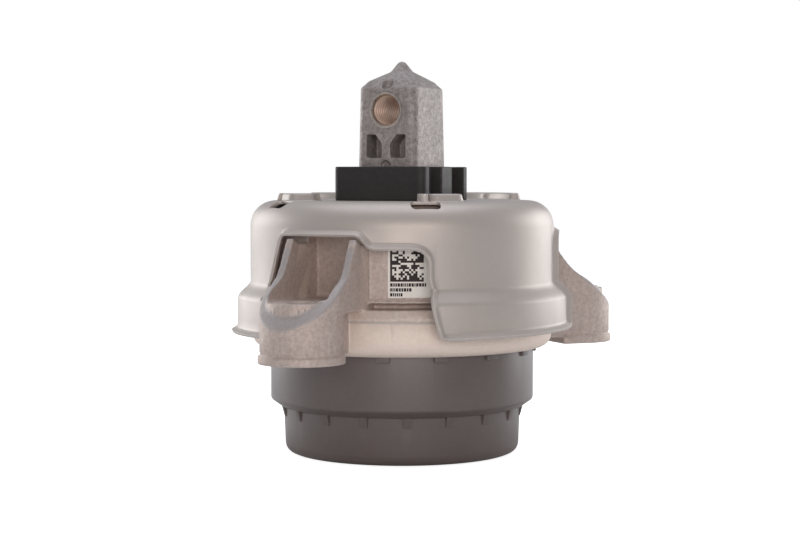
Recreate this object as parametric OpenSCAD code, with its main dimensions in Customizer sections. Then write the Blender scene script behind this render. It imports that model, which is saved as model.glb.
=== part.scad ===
// Hydraulic engine mount: a cast core in a rubber spring, inside a cast housing with three
// bolt feet, under a pressed heat shield, on a plastic bowl that encloses the fluid chamber.
// The origin is the middle of the bowl's bottom face, Z is up and the label faces -Y.

/* [Bowl] */
// Outer radius of the bowl's upper tier
bowl_r = 48.8; // [46:0.1:50]
// How far the bowl's lower tier lies inside the upper one
bowl_step_in = 4.8; // [3:0.1:7]
// How much smaller the bowl's radius is at the bottom than under the step
bowl_taper = 0.7; // [0:0.1:3]
// Height of the step between the two tiers
bowl_step_z = 17.4; // [12:0.1:24]
// Height of the whole bowl, to the rim that is inside the housing
bowl_h = 44.0; // [40:0.5:52]
// Wall of the bowl
bowl_wall = 2.4; // [1.8:0.1:3]
// Rounding round the bottom of the bowl
bowl_fillet = 4.3; // [2:0.1:5]
// Number of gussets under the step
gusset_count = 18; // [8:1:24]
// Width of a gusset
gusset_w = 2.8; // [1.5:0.1:4]
// Number of snap lugs just below the housing
lug_count = 15; // [6:1:20]
// Width of a snap lug
lug_w = 5.2; // [3:0.1:7]
// Gap between the bowl and the housing's bore, which the seal fills
seal_gap = 1.2; // [0.8:0.1:1.6]

/* [Fluid chamber] */
// Thickness of the bead round the bellows
bead_t = 2.5; // [1.5:0.1:4]
// Wall of the bellows
bellows_wall = 1.5; // [1:0.1:2]
// Thickness of each of the two channel plates
plate_t = 3.0; // [2.6:0.1:4]
// Radius of the loose membrane between the plates
membrane_r = 26; // [20:0.5:30]
// Thickness of the membrane
membrane_t = 2.0; // [1:0.1:2.2]
// How far the middle of the fluid track lies outside the membrane
track_out = 13; // [11:0.5:14]
// Width of the fluid track
track_w = 6; // [3:0.5:8]
// Depth of the fluid track
track_depth = 2; // [1:0.1:2.2]

/* [Spring] */
// Flange thickness of the steel ring that the spring is bonded to
flange_t = 1.5; // [1:0.1:3]
// Width of the ring's flange, outside its tube
flange_w = 7.8; // [6:0.1:10]
// Wall of the tube of the spring ring
tube_wall = 2; // [1:0.1:3]
// Height of the tube of the spring ring
tube_h = 5.5; // [3:0.1:6.5]
// Rubber height where it holds the core
grip_h = 13; // [8:0.5:14]
// Widest radius of the core, inside the rubber
core_r = 20; // [17:0.5:22]
// Height of the core's foot above the housing's inner shoulder
core_lift = 6; // [3:0.5:9]

/* [Housing] */
// Wall of the housing's lower ring, round the bowl
bore_wall = 5.5; // [4:0.1:7]
// Height that the bowl reaches into the housing
bowl_insert = 4.7; // [3:0.1:6]
// Wall of the housing round the tube of the spring ring
tube_cover = 4.3; // [3:0.1:6]
// Depth of the groove between the ring and the label wall
groove_depth = 3.5; // [2:0.1:5]
// How far the housing's inner wall lies inside the tube of the spring ring
throat = 2.5; // [1.5:0.1:4]
// Height of the housing above the inner shoulder
dome_h = 38; // [34:0.5:42]
// Radius of the opening in the housing's top, round the core
mouth_r = 24; // [21:0.5:30]
// Thickness of the housing's top
roof_t = 6; // [4:0.5:9]

/* [Legs] */
// Distance from the housing's lower ring to the middle of a bolt hole
bolt_out = 15.1; // [13:0.1:20]
// Diameter of the bolt holes
bolt_hole_d = 11; // [8.5:0.5:13]
// Half width of a leg, and the radius of its round end
leg_r = 14.4; // [13:0.1:17]
// Half width of the web between a leg's round foot and the ring, on its slim side
neck_w = 9; // [7:0.5:11]
// Height of the web's underside above the ring's lower face
web_up = 1.7; // [0.5:0.1:2]
// How much narrower each side of a leg is where it leaves the housing
leg_taper = 1.1; // [0:0.1:2]
// Wall beside the bolt pocket
leg_wall = 2.6; // [2:0.1:4]
// Height of the bolt seat above the foot face
seat_h = 20.7; // [14:0.1:24]
// How far the foot faces lie below the ring
foot_drop = 0.8; // [0:0.1:3]
// Thickness of the machined foot under each leg
foot_t = 2.8; // [1.5:0.1:5]
// How far the foot stands proud of the leg's side
foot_proud = 0.3; // [0:0.1:1]
// Direction of the front left leg, round from +X
leg_a_angle = 241.2; // [235:0.1:245]
// Direction of the right leg, round from +X
leg_b_angle = 21.5; // [10:0.1:30]
// Height of the rim of the left legs at the tip, above the foot face
rim_a_h = 12.7; // [8:0.1:16]
// Steady climb of the rim of the left legs, as rise over run
rim_a_slope = 0.78; // [0.6:0.01:1]
// Extra climb of the rim of the left legs near the housing
rim_a_steep = 0.158; // [0:0.002:0.2]
// Height of the rim of the right leg at the tip, above the foot face
rim_b_h = 13.2; // [6:0.1:14]
// Steady climb of the rim of the right leg, as rise over run
rim_b_slope = 0.72; // [0.6:0.01:1]
// Extra climb of the rim of the right leg near the housing
rim_b_steep = 0.048; // [0:0.002:0.2]

/* [Heat shield] */
// Thickness of the pressed sheet
sheet = 1.0; // [0.6:0.1:1.5]
// Gap between the label wall and the shield's upper tier
shield_gap = 5.2; // [4:0.1:7]
// Gap between the housing's lower ring and the shield's lower tier
skirt_gap = 4.4; // [3:0.1:7]
// Rounding between the shield's top and its side
shield_round = 9.3; // [6:0.1:10]
// Height of the flare between the tiers above the housing's ledge
flare_up = 5.5; // [4:0.1:9]
// Height of the lower edge above the housing's lower face, measured on the axis
edge_up = 6.2; // [4:0.1:9]
// Slope of the lower edge, down towards -X, in degrees
edge_tilt = 0.9; // [0:0.1:3]
// How far the turned-out edge stands proud
hem = 1.8; // [1:0.1:3]
// Width of the turned-out edge, seen from in front
hem_w = 1.6; // [1:0.1:2.4]
// Width of the two raised pads on the front of the shield
pad_w = 14; // [12:0.5:20]
// Depth of the raised pads
pad_d = 12; // [8:0.5:14]
// Height of the raised pads and of the raised band
pad_h = 2.7; // [1.5:0.1:4]
// Width of the raised band round the back of the shield's top
band_w = 5.5; // [4:0.1:7]
// Width of the two slots in the shield
slot_w = 10.5; // [6:0.5:14]
// Height of the label side of the front window, below the shield's top
label_window_drop = 16.4; // [14:0.1:22]
// Height of the pocket side of the windows, below the shield's top
pocket_window_drop = 11.9; // [11:0.1:18]
// Gap between a leg and the upper corner of the front window
window_gap = 1.93; // [1:0.01:4]
// Gap between the rear left leg and the sides of its window
rear_window_gap = 14.6; // [10:0.1:16]
// Gap between the right leg and the sides of its window
right_window_gap = 13.7; // [10:0.1:16]

/* [Label] */
// Width of the label
label_w = 14.9; // [8:0.1:18]
// Height of the label
label_h = 16.7; // [8:0.1:18]
// Thickness of the label
label_t = 0.2; // [0.1:0.05:0.5]
// How far the label's middle lies to the right of the mount's axis
label_x = 2.55; // [-4:0.05:4]

/* [Core] */
// Width of the core across its bored face
core_w = 24.2; // [20:0.1:27]
// Depth of the core along its bore
core_d = 28.9; // [25:0.1:33]
// Direction that the core's bored face looks in, round from +X
core_angle = 245; // [235:1:255]
// Height of the cross bore above the shield
bore_h = 33; // [30:0.1:40]
// Height of the core's upright sides above the cross bore
eave_rise = 7.6; // [7:0.1:10]
// Height of the core's roof
roof_rise = 10.7; // [9:0.1:14]
// Radius of the hole in the threaded bush, at the thread's crests
thread_r = 5.1; // [4:0.05:6]
// Wall of the threaded bush
bush_wall = 1.0; // [0.6:0.1:1.6]
// Radius of the core's neck, through the shield
neck_r = 14; // [10:0.1:15]
// Depth of the pockets below the bore
pocket_depth = 9; // [4:0.5:11]

/* [Stop buffer] */
// Rubber behind the teeth, beside the core
stop_web = 1.1; // [0.8:0.05:3]
// Rubber in front of the core's bored faces
stop_end = 6.3; // [4:0.1:9]
// Height of the rubber stop
stop_h = 12.4; // [9:0.1:14]
// Depth of the gaps between the teeth of the stop
tooth_depth = 5; // [3:0.1:6]
// Thickness of the end teeth
end_tooth_t = 5.1; // [4:0.1:8]
// Thickness of the middle tooth
mid_tooth_t = 9.5; // [6:0.1:12]

/* [Hidden] */
$fn = 96;

// Gap left round a piece that drops into a bore
fit = 0.2;
// Gap left round a piece that is pressed or glued in
hair = 0.03;
// Gap left between a loose piece and its seat
play = 0.4;
// Overrun of a cut past the face that it goes through
cut = 1;

// Rings of the bowl, the stack, the housing and the shield, from the bowl outwards
bowl_low_r = bowl_r - bowl_step_in;
bowl_base_r = bowl_low_r - bowl_taper;
chamber_r = bowl_r + seal_gap;
stack_r = chamber_r - fit;
ring_r = chamber_r + bore_wall;
tube_r = stack_r - flange_w;
cavity_r = tube_r - throat;
groove_r = tube_r + fit + tube_cover;
wall_r = groove_r + groove_depth;
shield_r = wall_r + shield_gap + sheet;
skirt_r = ring_r + skirt_gap + sheet;

// Heights of the stack, from the bowl up
ring_z = bowl_h - bowl_insert;
foot_z = ring_z - foot_drop;
seat_z = foot_z + seat_h;
web_z = ring_z + web_up;
lower_plate_z = bowl_h + bead_t;
upper_plate_z = lower_plate_z + plate_t;
flange_z = upper_plate_z + plate_t;
shoulder_z = flange_z + flange_t;
tube_top = flange_z + tube_h;
housing_top = shoulder_z + dome_h;
deck_z = housing_top + sheet;
bore_z = deck_z + bore_h;
eave_z = bore_z + eave_rise;
peak_z = eave_z + roof_rise;

// Steps on the outside of the housing: its ledge, the groove over it, and the lip over that
ledge_z = shoulder_z + 1.8;
slope_z = ledge_z - 4;
ledge_in = 1.9;
groove_z = ledge_z + 1.9;
lip_z = groove_z + 0.3;
lip_edge = 0.4;
lip_top = groove_z + 1.9;
lip = 0.9;

// Steps of the bowl, and the places of what repeats round it
step_rise = 2.6;
step_r = bowl_low_r + 1.2;
lug_top = ring_z + 1.6;
lug_drop = 2.1;
lug_proud = stack_r - bowl_r;
lug_from = -98;
gusset_h = 3.8;
gusset_from = -87.8;
seal_drop = 1.4;

// Holes in the channel plates, and the seat of the membrane between them
hole_r = 3;
port_r = track_w / 2 - 0.2;
track_r = membrane_r + track_out;
track_span = 325;
port_in = 6;
port_out = 319;
fill_r = 1.5;
fill_rho = membrane_r + 5;
fill_short = 0.5;
nub_r = 2.5;
seat = (membrane_t + play) / 2;

// Lower body of the core, as radius and height
core_foot = shoulder_z + core_lift;
core_cone = [
  [core_r - 8, core_foot],
  [core_r - 3, core_foot + 3],
  [core_r, core_foot + 10],
  [core_r - 1, core_foot + 3 + grip_h],
  [neck_r, core_foot + 11 + grip_h]
];

// Reaches of a leg from the axis: its root in the housing, the inner end of its bolt pocket,
// the start of its foot, the bend of its rim, its bolt hole and its tip
leg_root = wall_r - 6;
pocket_in = cavity_r + 3.5;
foot_from = ring_r + 4.5;
bolt_rho = ring_r + bolt_out;
rim_bend = bolt_rho - 4.6;
tip_rho = bolt_rho + leg_r;
pocket_r = leg_r - leg_wall;

// Top of the left legs, just under the upper edge of their windows, and what is lower than it:
// the top of the right leg, and the ends of the legs under the shield's side
leg_top = deck_z - pocket_window_drop - 0.8;
right_drop = 3;
duck = 2;
duck_r = shield_r - sheet - 1.2;

// Places on the shield: the flare, the lower edge, the pads, the band and the slots
flare_z = ledge_z + flare_up;
edge_z = ring_z + edge_up;
pad_from = -69;
pad_rho = shield_r - 16.2;
pad_round = 3;
band_rho = shield_r - 14.45;
band_from = 0;
band_span = 146.4;
band_ribs = 4;
rib_r = 0.8;
slot_turn = 34.2;
slot_rho = shield_r - 6.7;
slot_l = 5;
slot_round = 1.7;
centre_hole_r = neck_r + 1.5;

// Front window: the turn from the leg's direction to the window's, the leg's middle line seen
// along that direction, and the far side of the label
window_turn = 9.8;
leg_line = shield_r * sin(window_turn);
function label_turn(x) = x / wall_r * 180 / PI;
label_side = -90 + label_turn(label_x + label_w / 2);
label_reach = shield_r * sin(label_side + 360 - leg_a_angle - window_turn);

// Size of the rubber stop round the core's foot
stop_w = core_w + 2 * (tooth_depth + stop_web);
stop_d = core_d + 2 * stop_end;

// Height of a leg's rim at a distance rho from the axis. It climbs steadily from the tip, and
// steepens inside rim_bend.
function rim_z(rho, tip_h, slope, steep) =
  foot_z + tip_h + slope * (tip_rho - rho) + (rho < rim_bend ? steep * pow(rim_bend - rho, 2) : 0);

// Points of a circular arc, for the outlines that are spun round the axis
function arc(cx, cz, r, from, to, steps) =
  [for (i = [0:steps]) let (a = from + (to - from) * i / steps) [cx + r * cos(a), cz + r * sin(a)]];

// A rectangle about the origin, with round corners
module rounded_rect(w, d, r) {
  square([w - 2 * r, d], center = true);
  square([w, d - 2 * r], center = true);
  for (x = [-1, 1], y = [-1, 1])
    translate([x * (w / 2 - r), y * (d / 2 - r)]) circle(r, $fn = 32);
}

// Bowl: two tiers with a step, gussets under the step and snap lugs under the housing
module bowl() {
  inner_r = bowl_r - bowl_wall;
  outer = concat(
    [[0, 0]],
    arc(bowl_base_r - bowl_fillet, bowl_fillet, bowl_fillet, -90, 0, 6),
    [[bowl_low_r, bowl_step_z], [step_r, bowl_step_z],
     [bowl_r, bowl_step_z + step_rise], [bowl_r, bowl_h]]);
  inner = [
    [inner_r, bowl_h],
    [inner_r, bowl_step_z + step_rise + bowl_wall / 2],
    [bowl_low_r - bowl_wall, bowl_step_z],
    [bowl_base_r - bowl_wall, bowl_fillet],
    [bowl_base_r - bowl_fillet, bowl_wall],
    [0, bowl_wall]];
  color("#5f5450") {
    rotate_extrude() polygon(concat(outer, inner));
    for (i = [0:gusset_count - 1])
      rotate([0, 0, gusset_from + i * 360 / gusset_count]) gusset();
    for (i = [0:lug_count - 1])
      rotate([0, 0, lug_from + i * 360 / lug_count]) lug();
  }
}

// One gusset, drawn on +X
module gusset() {
  translate([0, gusset_w / 2, 0]) rotate([90, 0, 0]) linear_extrude(gusset_w)
    polygon([[bowl_low_r - cut, bowl_step_z + cut / 2], [step_r, bowl_step_z + cut / 2],
             [step_r, bowl_step_z], [bowl_low_r, bowl_step_z - gusset_h],
             [bowl_low_r - cut, bowl_step_z - gusset_h]]);
}

// One snap lug, drawn on +X
module lug() {
  translate([bowl_r - bowl_wall / 2, -lug_w / 2, ring_z - lug_drop])
    cube([lug_proud + bowl_wall / 2, lug_w, lug_top - ring_z + lug_drop]);
}

// Round seal between the bowl and the housing's bore
module bowl_seal() {
  seal_r = seal_gap / 2;
  color("#26221f") rotate_extrude()
    translate([bowl_r + seal_r, bowl_h - seal_drop]) circle(seal_r - hair, $fn = 24);
}

// Bellows: a bead clamped on the bowl's rim, and a thin folded skin that hangs into the bowl
module bellows() {
  roll_r = 6;
  clear = 2;
  crown_r = 12;
  neck = bowl_r - bowl_wall - clear;
  low = bowl_step_z + step_rise + bowl_wall + clear;
  mid = neck - roll_r;
  crown_z = low + 14;
  skin = concat(
    [[stack_r, bowl_h + bead_t], [neck - bellows_wall, bowl_h + bead_t]],
    arc(mid, low + roll_r, roll_r - bellows_wall, 0, -150, 10),
    [[crown_r, crown_z], [0, crown_z]]);
  back = concat(
    [[0, crown_z - bellows_wall], [crown_r - 1, crown_z - bellows_wall]],
    arc(mid, low + roll_r, roll_r, -150, 0, 10),
    [[neck, bowl_h], [stack_r, bowl_h]]);
  color("#2b2726") rotate_extrude() polygon(concat(skin, back));
}

// Hole pattern through the middle of both channel plates
module plate_holes() {
  for (ring = [0:2], i = [0:max(6 * ring - 1, 0)])
    rotate([0, 0, i * 60 / max(ring, 1)]) translate([ring * membrane_r / 3, 0, -cut])
      cylinder(r = hole_r, h = plate_t + 2 * cut, $fn = 32);
}

// Lower channel plate, with the fluid track in its top
module lower_channel_plate() {
  color("#b9b6b3") translate([0, 0, lower_plate_z]) difference() {
    cylinder(r = stack_r, h = plate_t);
    plate_holes();
    translate([0, 0, plate_t - seat]) cylinder(r = membrane_r + play, h = seat + cut);
    translate([0, 0, plate_t - track_depth]) rotate_extrude(angle = track_span)
      translate([track_r - track_w / 2, 0]) square([track_w, track_depth + cut]);
    rotate([0, 0, port_in]) translate([track_r, 0, -cut]) cylinder(r = port_r, h = plate_t);
  }
}

// Upper channel plate, which closes the track and holds the membrane down
module upper_channel_plate() {
  color("#c4c1be") translate([0, 0, upper_plate_z]) difference() {
    cylinder(r = stack_r, h = plate_t);
    plate_holes();
    translate([0, 0, -cut]) cylinder(r = membrane_r + play, h = seat + cut);
    rotate([0, 0, port_out]) translate([track_r, 0, -cut])
      cylinder(r = port_r, h = plate_t + 2 * cut);
    translate([-fill_rho, 0, -cut]) cylinder(r = fill_r, h = plate_t + 2 * cut);
  }
}

// Loose rubber membrane between the plates
module decoupler_membrane() {
  color("#302b29") translate([0, 0, upper_plate_z - seat]) {
    cylinder(r = membrane_r, h = membrane_t - play / 2);
    cylinder(r = nub_r, h = membrane_t);
  }
}

// Plug that closes the filling hole in the upper channel plate
module fill_plug() {
  color("#a8a49f") translate([-fill_rho, 0, upper_plate_z])
    cylinder(r = fill_r, h = plate_t - fill_short);
}

// Steel ring that the rubber spring is bonded to, clamped under the housing's shoulder
module spring_ring() {
  color("#8f8d8c") rotate_extrude() polygon([
    [tube_r - tube_wall, flange_z], [stack_r, flange_z], [stack_r, shoulder_z],
    [tube_r, shoulder_z], [tube_r, tube_top], [tube_r - tube_wall, tube_top]]);
}

// Rubber spring between the core and its ring
module main_spring() {
  inner_r = tube_r - tube_wall;
  color("#2a2725") rotate_extrude() polygon([
    core_cone[1], core_cone[2], core_cone[3],
    [cavity_r - fit - 2, tube_top + 4],
    [cavity_r - fit, tube_top],
    [inner_r, tube_top], [inner_r, flange_z],
    [inner_r - 4, flange_z]]);
}

// Outline of the cast housing without its legs, in radius and height
module housing_outline() {
  fillet = 4.5;
  top_round = 8;
  bevel = 2;
  polygon(concat(
    [[chamber_r, ring_z]],
    arc(ring_r - fillet, ring_z + fillet, fillet, -90, 0, 6),
    [[ring_r, slope_z], [ring_r - ledge_in, ledge_z],
     [groove_r, ledge_z], [groove_r, groove_z],
     [wall_r + lip, lip_z], [wall_r + lip, lip_z + lip_edge],
     [wall_r, lip_top]],
    arc(wall_r - top_round, housing_top - top_round, top_round, 0, 90, 8),
    [[mouth_r, housing_top], [mouth_r, housing_top - roof_t],
     [cavity_r, housing_top - roof_t - bevel],
     [cavity_r, tube_top + bevel], [tube_r + fit, tube_top],
     [tube_r + fit, shoulder_z], [chamber_r, shoulder_z]]));
}

// Half width of a leg at a distance from the axis, where it is r at the bolt hole
function leg_half(r, rho) = r - leg_taper * (bolt_rho - rho) / (bolt_rho - leg_root);

// Plan of a leg along +X, above the ledge: a strip with a round end
module leg_plan(r, from) {
  near = leg_half(r, from);
  polygon([[from, -near], [bolt_rho, -r], [bolt_rho, r], [from, near]]);
  translate([bolt_rho, 0]) circle(r);
}

// Plan of a leg along +X, below the ledge: a round foot on a web that is slim on one side
module foot_plan(r, from) {
  polygon([[from, -leg_half(r, from)], [bolt_rho, -r], [bolt_rho, neck_w], [from, neck_w]]);
  intersection() {
    translate([bolt_rho, 0]) circle(r);
    translate([from, -2 * r]) square([tip_rho, 4 * r]);
  }
}

// The foot and web of a leg below the ledge, and its straight walls over them up to top
module leg_stack(r, top) {
  translate([0, 0, web_z]) linear_extrude(ledge_z - web_z) foot_plan(r, leg_root);
  translate([0, 0, ledge_z]) linear_extrude(top - ledge_z) leg_plan(r, leg_root);
}

// Solid part of one leg along +X, with a rim that climbs towards the housing
module leg_body(tip_h, slope, steep, top) {
  steps = 12;
  bend_from = shield_r + hem;
  intersection() {
    leg_stack(leg_r, top);
    translate([0, leg_r + cut, 0]) rotate([90, 0, 0]) linear_extrude(2 * (leg_r + cut))
      polygon(concat(
        [[leg_root, web_z], [tip_rho, web_z]],
        [for (i = [0:steps]) let (rho = tip_rho - i * (tip_rho - bend_from) / steps)
          [rho, min(top, rim_z(rho, tip_h, slope, steep))]],
        [[duck_r, top - duck], [leg_root, top - duck]]));
  }
  leg_stack(pocket_r, seat_z);
  translate([0, 0, foot_z]) linear_extrude(foot_t) foot_plan(leg_r + foot_proud, foot_from);
}

// What is cut out of a leg: the bolt pocket over the seat, and the bolt hole
module leg_cut() {
  translate([0, 0, seat_z]) linear_extrude(leg_top + cut - seat_z) {
    leg_plan(pocket_r, pocket_in);
    translate([bolt_rho, -pocket_r]) square([leg_r, 2 * pocket_r]);
  }
  translate([bolt_rho, 0, foot_z - cut]) cylinder(d = bolt_hole_d, h = seat_h + 2 * cut);
}

// Housing: cast in one piece, with the rear left leg a mirror of the front left one
module housing() {
  color("#c8b8ac") difference() {
    union() {
      rotate_extrude() housing_outline();
      for (rear = [0, 1])
        mirror([0, rear, 0]) rotate([0, 0, leg_a_angle])
          leg_body(rim_a_h, rim_a_slope, rim_a_steep, leg_top);
      rotate([0, 0, leg_b_angle])
        leg_body(rim_b_h, rim_b_slope, rim_b_steep, leg_top - right_drop);
    }
    for (a = [leg_a_angle, -leg_a_angle, leg_b_angle])
      rotate([0, 0, a]) leg_cut();
    translate([0, 0, ring_z]) cylinder(r = chamber_r, h = shoulder_z - ring_z);
  }
}

// Outer line of the shield from its centre hole to below its lower edge, grown by g
function shield_line(g) = concat(
  [[centre_hole_r, deck_z + g]],
  arc(shield_r - shield_round, deck_z - shield_round, shield_round + g, 90, 0, 8),
  [[shield_r + g, flare_z + 2.2],
   [shield_r + 0.7 + g, flare_z + 0.9 + g / 3],
   [skirt_r - 0.7 + g, flare_z - 2.6 + g / 3],
   [skirt_r + g, flare_z - 4],
   [skirt_r + 0.4 + g, edge_z - 4]]);

// Ring-shaped solid between two grown copies of the shield's line
module shield_shell(inside, outside) {
  line = shield_line(-inside);
  rotate_extrude() polygon(concat(
    shield_line(outside), [for (i = [len(line) - 1:-1:0]) line[i]]));
}

// Everything below the sloping lower edge of the shield, lifted by up
module below_edge(up) {
  reach = 2 * skirt_r;
  translate([0, 0, edge_z + up]) rotate([0, -edge_tilt, 0])
    translate([-reach, -reach, -3 * reach]) cube([2 * reach, 2 * reach, 3 * reach]);
}

// Outline of the front window, seen along the direction between the pocket and the label.
// The pocket side is on the left and the lower label side on the right, and their upper edges
// are joined by a slanted step.
module front_window() {
  top = deck_z - pocket_window_drop;
  label_top = deck_z - label_window_drop;
  low = edge_z - 6;
  leg_left = -leg_line - leg_r;
  leg_right = leg_r - leg_line;
  left = leg_left - window_gap;
  right = label_reach - 1.1;
  round_l = 2;
  round_r = 5;
  polygon(concat(
    [[left - 7.6, low], [left - 7.6, flare_z - 5], [left - 6.4, flare_z - 1]],
    arc(left + round_l, top - round_l, round_l, 180, 90, 4),
    [[leg_right - 3, top], [leg_right - 1.2, top - 1],
     [leg_right + 1.4, label_top + 0.9], [leg_right + 3.6, label_top]],
    arc(right - round_r, label_top - round_r, round_r, 90, 0, 5),
    [[right + 0.5, flare_z + 2], [right + 3.8, flare_z - 4], [right + 5, low]]));
}

// Outline of a side window, with a gap of side to each side of its leg
module side_window(side) {
  top = deck_z - pocket_window_drop;
  low = edge_z - 6;
  half_w = leg_r + side;
  corner = 3;
  polygon(concat(
    [[-half_w, low]],
    arc(corner - half_w, top - corner, corner, 180, 90, 4),
    arc(half_w - corner, top - corner, corner, 90, 0, 4),
    [[half_w, low]]));
}

// Stands an outline up and runs it outwards from the axis in direction a
module outward(a) {
  rotate([0, 0, a]) rotate([90, 0, 90]) linear_extrude(2 * skirt_r) children();
}

// The window outlines in their places, grown by edge
module windows(edge) {
  outward(leg_a_angle + window_turn) grown(edge) front_window();
  outward(-leg_a_angle) grown(edge) side_window(rear_window_gap);
  outward(leg_b_angle) grown(edge) side_window(right_window_gap);
}

// An outline grown by edge, or as it is when edge is nought
module grown(edge) {
  if (edge > 0) offset(r = edge, $fn = 24) children();
  else children();
}

// One raised pad on the shield, drawn along +X, with its outline moved in by shrink
module pad(top, shrink) {
  translate([pad_rho, 0, deck_z - sheet]) linear_extrude(top - deck_z + sheet)
    rounded_rect(pad_d - 2 * shrink, pad_w - 2 * shrink, pad_round - shrink);
}

// The raised band round the back of the shield's top, with ribs on its inner side, and its
// outline moved in by shrink
module band(top, shrink) {
  trim = shrink / band_rho * 180 / PI;
  rotate([0, 0, band_from + trim]) rotate_extrude(angle = band_span - 2 * trim)
    translate([band_rho + shrink - band_w / 2, deck_z - sheet])
      square([band_w - 2 * shrink, top - deck_z + sheet]);
  if (shrink == 0) for (i = [1:band_ribs - 1])
    rotate([0, 0, band_from + i * band_span / band_ribs])
      translate([band_rho - band_w / 2, 0, deck_z - sheet])
        cylinder(r = rib_r, h = top - deck_z + sheet, $fn = 24);
}

// Heat shield: pressed from one sheet, with a turned-out edge round its rim and windows
module heat_shield() {
  low = edge_z - 5;
  color("#b5a9a3") difference() {
    union() {
      difference() {
        shield_shell(sheet, 0);
        windows(0);
        below_edge(0);
      }
      difference() {
        intersection() {
          shield_shell(sheet, hem);
          union() {
            difference() {
              windows(hem_w);
              windows(0);
            }
            difference() {
              below_edge(sheet);
              windows(0);
            }
          }
          translate([0, 0, low]) cylinder(r = 2 * skirt_r, h = deck_z - sheet - low);
        }
        below_edge(0);
      }
      for (i = [0, 3]) rotate([0, 0, pad_from + 90 * i]) pad(deck_z + pad_h, 0);
      band(deck_z + pad_h, 0);
    }
    translate([0, 0, -cut]) {
      for (i = [0, 3]) rotate([0, 0, pad_from + 90 * i]) pad(deck_z + pad_h - sheet + cut, sheet);
      band(deck_z + pad_h - sheet + cut, sheet);
    }
    for (side = [-1, 1]) rotate([0, 0, core_angle + side * slot_turn])
      translate([slot_rho, 0, deck_z - sheet - 5 * cut])
        linear_extrude(sheet + 6 * cut) rounded_rect(slot_l, slot_w, slot_round);
  }
}

// Label on the housing's wall
module label() {
  up = 0.4;
  start = -90 + label_turn(label_x - label_w / 2);
  color("white") rotate([0, 0, start]) rotate_extrude(angle = label_turn(label_w))
    translate([wall_r, lip_top + up]) square([label_t, label_h]);
}

// A section of the core's post, drawn with the bored face towards +X
module core_section(shrink, r) {
  rounded_rect(core_d - 2 * shrink, core_w - 2 * shrink, r);
}

// A pocket in a bored face, below the bore, with its corner next to the bore cut off
module core_pocket() {
  w = 6.1;
  h = 8.5;
  under_bore = 2.8;
  off_middle = 1.7;
  nip = 2.6;
  nip_h = 3.4;
  low = bore_z - thread_r - bush_wall - under_bore - h;
  translate([core_d / 2 + cut, off_middle, low]) rotate([90, 0, -90])
    linear_extrude(pocket_depth + cut)
      mirror([1, 0]) polygon([[0, 0], [w, 0], [w, h], [nip, h], [0, h - nip_h]]);
}

// Core: a cast post with a roofed top, on a cone that the spring is bonded to
module core() {
  ridge_z = peak_z - 4;
  tip_r = 2.2;
  spigot_r = core_w / 2 - 2;
  notch_r = 2;
  notch_up = 0.2;
  groove_round = 2.1;
  groove_in = 2.2;
  color("#a39c99") rotate([0, 0, core_angle]) difference() {
    union() {
      rotate_extrude() polygon(concat(
        [[0, core_foot]], core_cone,
        [[neck_r, deck_z], [spigot_r, deck_z], [spigot_r, deck_z + cut], [0, deck_z + cut]]));
      hull() {
        translate([0, 0, deck_z]) linear_extrude(1) core_section(0, 3, $fn = 32);
        translate([0, 0, eave_z]) linear_extrude(0.5) core_section(0.6, 3.5, $fn = 32);
        translate([0, 0, eave_z + 3]) linear_extrude(0.2) core_section(3, 3, $fn = 32);
        translate([0, 0, ridge_z - 0.2]) cylinder(r = 4.5, h = 0.2, $fn = 24);
      }
      hull() {
        translate([0, 0, ridge_z - 1.6]) cylinder(r = 5.4, h = 0.2, $fn = 24);
        translate([0, 0, peak_z - tip_r]) sphere(tip_r, $fn = 24);
      }
    }
    translate([0, 0, bore_z]) rotate([0, 90, 0])
      cylinder(r = thread_r + bush_wall, h = core_d + 2 * cut, center = true);
    for (side = [0, 180], hand = [0, 1])
      rotate([0, 0, side]) mirror([0, hand, 0]) core_pocket();
    for (side = [0, 180]) rotate([0, 0, side]) {
      translate([core_d / 2 - 1.5, 0, deck_z + stop_h + notch_up])
        rotate([0, 90, 0]) cylinder(r = notch_r, h = 3, $fn = 32);
      translate([core_d / 2 - groove_in, 0, eave_z])
        cylinder(r = groove_round, h = roof_rise, $fn = 32);
    }
  }
}

// Bush in the core's cross bore, with the thread cut in it
module thread_bush() {
  recess = 0.8;
  length = core_d - 2 * recess;
  color("#b98b6d") translate([0, 0, bore_z]) rotate([0, 0, core_angle]) rotate([0, 90, 0])
    difference() {
      cylinder(r = thread_r + bush_wall - hair, h = length, center = true);
      cylinder(r = thread_r, h = length + 2 * cut, center = true);
    }
}

// Rubber stop round the foot of the core, with three teeth on each side
module stop_buffer() {
  gap = (stop_d - 2 * end_tooth_t - mid_tooth_t) / 2;
  color("#2e2b2d") rotate([0, 0, core_angle]) translate([0, 0, deck_z]) difference() {
    linear_extrude(stop_h) rounded_rect(stop_d, stop_w, 2.5);
    linear_extrude(4 * stop_h, center = true) core_section(0, 3, $fn = 32);
    for (side = [-1, 1], along = [-1, 1])
      translate([along * (mid_tooth_t + gap) / 2, side * (stop_w / 2 - tooth_depth / 2 + cut / 2), -cut])
        linear_extrude(stop_h + 2 * cut) square([gap, tooth_depth + cut], center = true);
  }
}

bowl();
bowl_seal();
bellows();
lower_channel_plate();
upper_channel_plate();
decoupler_membrane();
fill_plug();
spring_ring();
main_spring();
housing();
heat_shield();
label();
core();
thread_bush();
stop_buffer();
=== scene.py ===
import math
import random

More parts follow.
